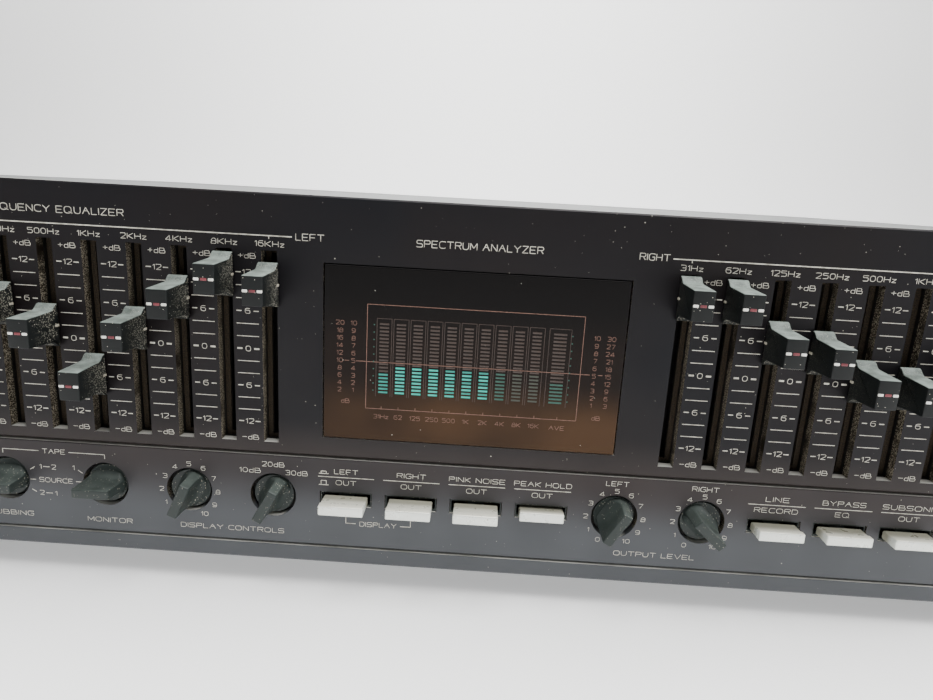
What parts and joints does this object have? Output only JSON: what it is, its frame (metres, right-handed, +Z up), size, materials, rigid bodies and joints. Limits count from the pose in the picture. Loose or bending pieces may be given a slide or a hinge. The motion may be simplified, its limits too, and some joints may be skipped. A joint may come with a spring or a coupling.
{
  "type": "graphic equalizer",
  "caption": "Wide low hi-fi case with banks of upright sliders on each side of a spectrum display, above a row of rotary knobs and push buttons.",
  "frame": {"origin": "middle of the footprint, on the surface that the feet stand on", "axes": "+X to the right seen from the front, +Z up, and the front panel faces -Y"},
  "size_m": [0.42, 0.2836, 0.1226],
  "materials": {
    "upper_fascia": "satin charcoal coating on aluminium",
    "lower_fascia": "semi-gloss blue-grey coating on aluminium",
    "smoked_window": "polished smoked acrylic",
    "display_glass": "dark glass",
    "circuit_board": "phenolic board",
    "zinc_steel": "zinc-plated sheet",
    "felt": "brown felt",
    "cover_paint": "fine-textured charcoal paint on steel",
    "black_moulding": "moulded black",
    "transformer_core": "varnished laminations",
    "capacitor_sleeve": "shrunk sleeve",
    "foot_rubber": "moulded",
    "slider_cap": "fine-textured moulded black",
    "knob": "fine-textured moulded black",
    "push_button": "ivory-silver satin"
  },
  "bodies": {
    "case": {"upper_fascia": "upper_fascia", "lower_fascia": "lower_fascia", "bottom_rail": "lower_fascia", "display_window": "smoked_window", "display_tube": "display_glass", "display_board": "circuit_board", "front_subpanel": "zinc_steel", "dust_seal_left": "felt", "dust_seal_right": "felt", "slider_bank_left": "zinc_steel", "slider_bank_right": "zinc_steel", "control_board": "circuit_board", "chassis_tray": "zinc_steel", "top_cover": "cover_paint", "rear_panel": "cover_paint", "jack_block": "black_moulding", "mains_inlet": "black_moulding", "main_board": "circuit_board", "power_transformer": "transformer_core", "capacitor_left": "capacitor_sleeve", "capacitor_right": "capacitor_sleeve", "foot_front_left": "foot_rubber", "foot_front_right": "foot_rubber", "foot_rear_left": "foot_rubber", "foot_rear_right": "foot_rubber"},
    "slider_left_31hz": {"slider_left_31hz": "slider_cap"},
    "slider_left_62hz": {"slider_left_62hz": "slider_cap"},
    "slider_left_125hz": {"slider_left_125hz": "slider_cap"},
    "slider_left_250hz": {"slider_left_250hz": "slider_cap"},
    "slider_left_500hz": {"slider_left_500hz": "slider_cap"},
    "slider_left_1khz": {"slider_left_1khz": "slider_cap"},
    "slider_left_2khz": {"slider_left_2khz": "slider_cap"},
    "slider_left_4khz": {"slider_left_4khz": "slider_cap"},
    "slider_left_8khz": {"slider_left_8khz": "slider_cap"},
    "slider_left_16khz": {"slider_left_16khz": "slider_cap"},
    "slider_right_31hz": {"slider_right_31hz": "slider_cap"},
    "slider_right_62hz": {"slider_right_62hz": "slider_cap"},
    "slider_right_125hz": {"slider_right_125hz": "slider_cap"},
    "slider_right_250hz": {"slider_right_250hz": "slider_cap"},
    "slider_right_500hz": {"slider_right_500hz": "slider_cap"},
    "slider_right_1khz": {"slider_right_1khz": "slider_cap"},
    "slider_right_2khz": {"slider_right_2khz": "slider_cap"},
    "slider_right_4khz": {"slider_right_4khz": "slider_cap"},
    "slider_right_8khz": {"slider_right_8khz": "slider_cap"},
    "slider_right_16khz": {"slider_right_16khz": "slider_cap"},
    "knob_tape_dubbing": {"knob_tape_dubbing": "knob"},
    "knob_tape_monitor": {"knob_tape_monitor": "knob"},
    "knob_display_level": {"knob_display_level": "knob"},
    "knob_display_range": {"knob_display_range": "knob"},
    "knob_output_left": {"knob_output_left": "knob"},
    "knob_output_right": {"knob_output_right": "knob"},
    "button_power": {"button_power": "push_button"},
    "button_display_left": {"button_display_left": "push_button"},
    "button_display_right": {"button_display_right": "push_button"},
    "button_pink_noise": {"button_pink_noise": "push_button"},
    "button_peak_hold": {"button_peak_hold": "push_button"},
    "button_record": {"button_record": "push_button"},
    "button_bypass": {"button_bypass": "push_button"},
    "button_subsonic": {"button_subsonic": "push_button"}
  },
  "joints": [
    {"name": "slider_left_31hz_slide", "type": "slide", "parent": "case", "child": "slider_left_31hz", "axis": [0, 0, 1], "range_m": [-0.04312, 0.00187]},
    {"name": "slider_left_62hz_slide", "type": "slide", "parent": "case", "child": "slider_left_62hz", "axis": [0, 0, 1], "range_m": [-0.04125, 0.00375]},
    {"name": "slider_left_125hz_slide", "type": "slide", "parent": "case", "child": "slider_left_125hz", "axis": [0, 0, 1], "range_m": [-0.03562, 0.00937]},
    {"name": "slider_left_250hz_slide", "type": "slide", "parent": "case", "child": "slider_left_250hz", "axis": [0, 0, 1], "range_m": [-0.03188, 0.01312]},
    {"name": "slider_left_500hz_slide", "type": "slide", "parent": "case", "child": "slider_left_500hz", "axis": [0, 0, 1], "range_m": [-0.02625, 0.01875]},
    {"name": "slider_left_1khz_slide", "type": "slide", "parent": "case", "child": "slider_left_1khz", "axis": [0, 0, 1], "range_m": [-0.012, 0.033]},
    {"name": "slider_left_2khz_slide", "type": "slide", "parent": "case", "child": "slider_left_2khz", "axis": [0, 0, 1], "range_m": [-0.02681, 0.01819]},
    {"name": "slider_left_4khz_slide", "type": "slide", "parent": "case", "child": "slider_left_4khz", "axis": [0, 0, 1], "range_m": [-0.03675, 0.00825]},
    {"name": "slider_left_8khz_slide", "type": "slide", "parent": "case", "child": "slider_left_8khz", "axis": [0, 0, 1], "range_m": [-0.04425, 0.00075]},
    {"name": "slider_left_16khz_slide", "type": "slide", "parent": "case", "child": "slider_left_16khz", "axis": [0, 0, 1], "range_m": [-0.04181, 0.00319]},
    {"name": "slider_right_31hz_slide", "type": "slide", "parent": "case", "child": "slider_right_31hz", "axis": [0, 0, 1], "range_m": [-0.04481, 0.00019]},
    {"name": "slider_right_62hz_slide", "type": "slide", "parent": "case", "child": "slider_right_62hz", "axis": [0, 0, 1], "range_m": [-0.04462, 0.00038]},
    {"name": "slider_right_125hz_slide", "type": "slide", "parent": "case", "child": "slider_right_125hz", "axis": [0, 0, 1], "range_m": [-0.03356, 0.01144]},
    {"name": "slider_right_250hz_slide", "type": "slide", "parent": "case", "child": "slider_right_250hz", "axis": [0, 0, 1], "range_m": [-0.0315, 0.0135]},
    {"name": "slider_right_500hz_slide", "type": "slide", "parent": "case", "child": "slider_right_500hz", "axis": [0, 0, 1], "range_m": [-0.02381, 0.02119]},
    {"name": "slider_right_1khz_slide", "type": "slide", "parent": "case", "child": "slider_right_1khz", "axis": [0, 0, 1], "range_m": [-0.0225, 0.0225]},
    {"name": "slider_right_2khz_slide", "type": "slide", "parent": "case", "child": "slider_right_2khz", "axis": [0, 0, 1], "range_m": [-0.02719, 0.01781]},
    {"name": "slider_right_4khz_slide", "type": "slide", "parent": "case", "child": "slider_right_4khz", "axis": [0, 0, 1], "range_m": [-0.03469, 0.01031]},
    {"name": "slider_right_8khz_slide", "type": "slide", "parent": "case", "child": "slider_right_8khz", "axis": [0, 0, 1], "range_m": [-0.04219, 0.00281]},
    {"name": "slider_right_16khz_slide", "type": "slide", "parent": "case", "child": "slider_right_16khz", "axis": [0, 0, 1], "range_m": [-0.04031, 0.00469]},
    {"name": "knob_tape_dubbing_turn", "type": "hinge", "parent": "case", "child": "knob_tape_dubbing", "pos_m": [-0.143, -0.1272, 0.0313], "axis": [0, 1, 0], "range_deg": [-30, 30]},
    {"name": "knob_tape_monitor_turn", "type": "hinge", "parent": "case", "child": "knob_tape_monitor", "pos_m": [-0.1118, -0.1272, 0.0313], "axis": [0, 1, 0], "range_deg": [-30, 30]},
    {"name": "knob_display_level_turn", "type": "hinge", "parent": "case", "child": "knob_display_level", "pos_m": [-0.0855, -0.1272, 0.0313], "axis": [0, 1, 0], "range_deg": [0, 300]},
    {"name": "knob_display_range_turn", "type": "hinge", "parent": "case", "child": "knob_display_range", "pos_m": [-0.0593, -0.1272, 0.0313], "axis": [0, 1, 0], "range_deg": [-60, 0]},
    {"name": "knob_output_left_turn", "type": "hinge", "parent": "case", "child": "knob_output_left", "pos_m": [0.0461, -0.1272, 0.0313], "axis": [0, 1, 0], "range_deg": [0, 300]},
    {"name": "knob_output_right_turn", "type": "hinge", "parent": "case", "child": "knob_output_right", "pos_m": [0.0727, -0.1272, 0.0313], "axis": [0, 1, 0], "range_deg": [-282, 18]},
    {"name": "button_power_push", "type": "slide", "parent": "case", "child": "button_power", "axis": [0, 1, 0], "range_m": [-0.0043, 0]},
    {"name": "button_display_left_push", "type": "slide", "parent": "case", "child": "button_display_left", "axis": [0, 1, 0], "range_m": [0, 0.0043]},
    {"name": "button_display_right_push", "type": "slide", "parent": "case", "child": "button_display_right", "axis": [0, 1, 0], "range_m": [0, 0.0043]},
    {"name": "button_pink_noise_push", "type": "slide", "parent": "case", "child": "button_pink_noise", "axis": [0, 1, 0], "range_m": [0, 0.0043]},
    {"name": "button_peak_hold_push", "type": "slide", "parent": "case", "child": "button_peak_hold", "axis": [0, 1, 0], "range_m": [-0.0043, 0]},
    {"name": "button_record_push", "type": "slide", "parent": "case", "child": "button_record", "axis": [0, 1, 0], "range_m": [0, 0.0043]},
    {"name": "button_bypass_push", "type": "slide", "parent": "case", "child": "button_bypass", "axis": [0, 1, 0], "range_m": [0, 0.0043]},
    {"name": "button_subsonic_push", "type": "slide", "parent": "case", "child": "button_subsonic", "axis": [0, 1, 0], "range_m": [0, 0.0043]}
  ]
}
